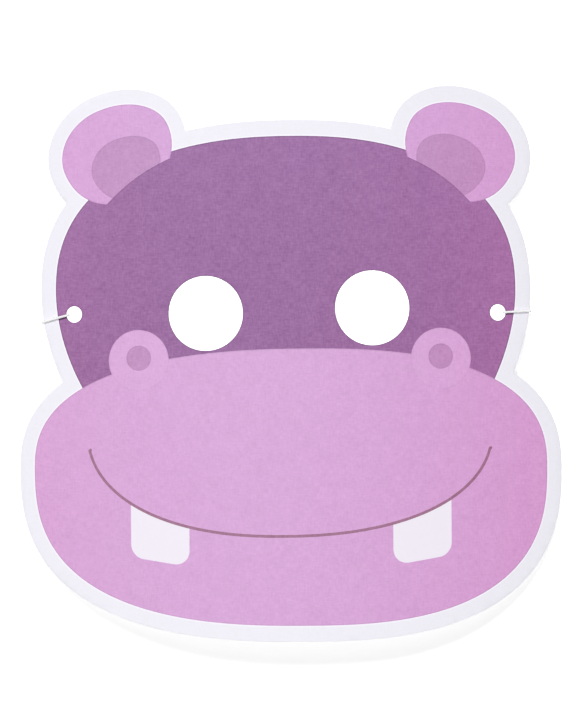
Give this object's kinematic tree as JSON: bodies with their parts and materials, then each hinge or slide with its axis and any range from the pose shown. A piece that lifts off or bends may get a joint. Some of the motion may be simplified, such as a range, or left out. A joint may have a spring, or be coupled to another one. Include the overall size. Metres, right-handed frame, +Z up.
{
  "type": "paper animal mask",
  "caption": "Child's bowed card mask of an animal face with rounded ears and a broad muzzle, eye holes and an elastic tied on at each side to hold it to the head.",
  "frame": {"origin": "on the surface under the middle of the mask, which lies face up on its cheeks and ears", "axes": "+Z up, out of the printed front; +Y towards the ears; +X to the right of the picture"},
  "size_m": [0.2116, 0.214, 0.0211],
  "materials": {
    "card": "matt printed card, white on the back and at the cut edges",
    "elastic": "thin round white elastic cord"
  },
  "bodies": {
    "root": {"mask_card": "card", "elastic_span": "elastic", "elastic_loop_left": "elastic", "elastic_loop_right": "elastic", "knot_left": "elastic", "knot_right": "elastic"}
  },
  "joints": []
}
